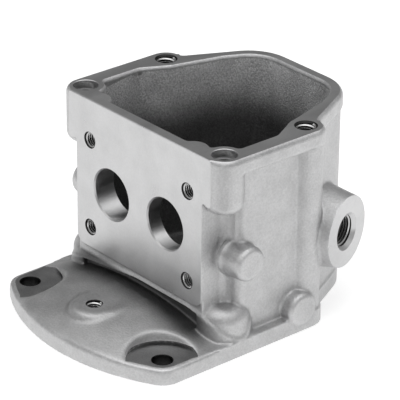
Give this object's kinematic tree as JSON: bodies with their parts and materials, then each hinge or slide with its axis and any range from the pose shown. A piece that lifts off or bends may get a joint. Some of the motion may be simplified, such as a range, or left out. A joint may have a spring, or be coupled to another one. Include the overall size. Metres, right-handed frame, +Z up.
{
  "type": "bearing cover",
  "caption": "Cast open box housing with a crowned bolting flange, a machined front pad with bores and tapped holes, a machined rim and a side port.",
  "frame": {"origin": "on the base face, below the pad face, midway between the two bores", "axes": "+X to the right along the front pad, +Y back into the body, +Z up from the base face"},
  "size_m": [0.1334, 0.1666, 0.108],
  "materials": {
    "casting": "shot-blasted casting with milled faces"
  },
  "bodies": {
    "root": {"housing": "casting"}
  },
  "joints": []
}
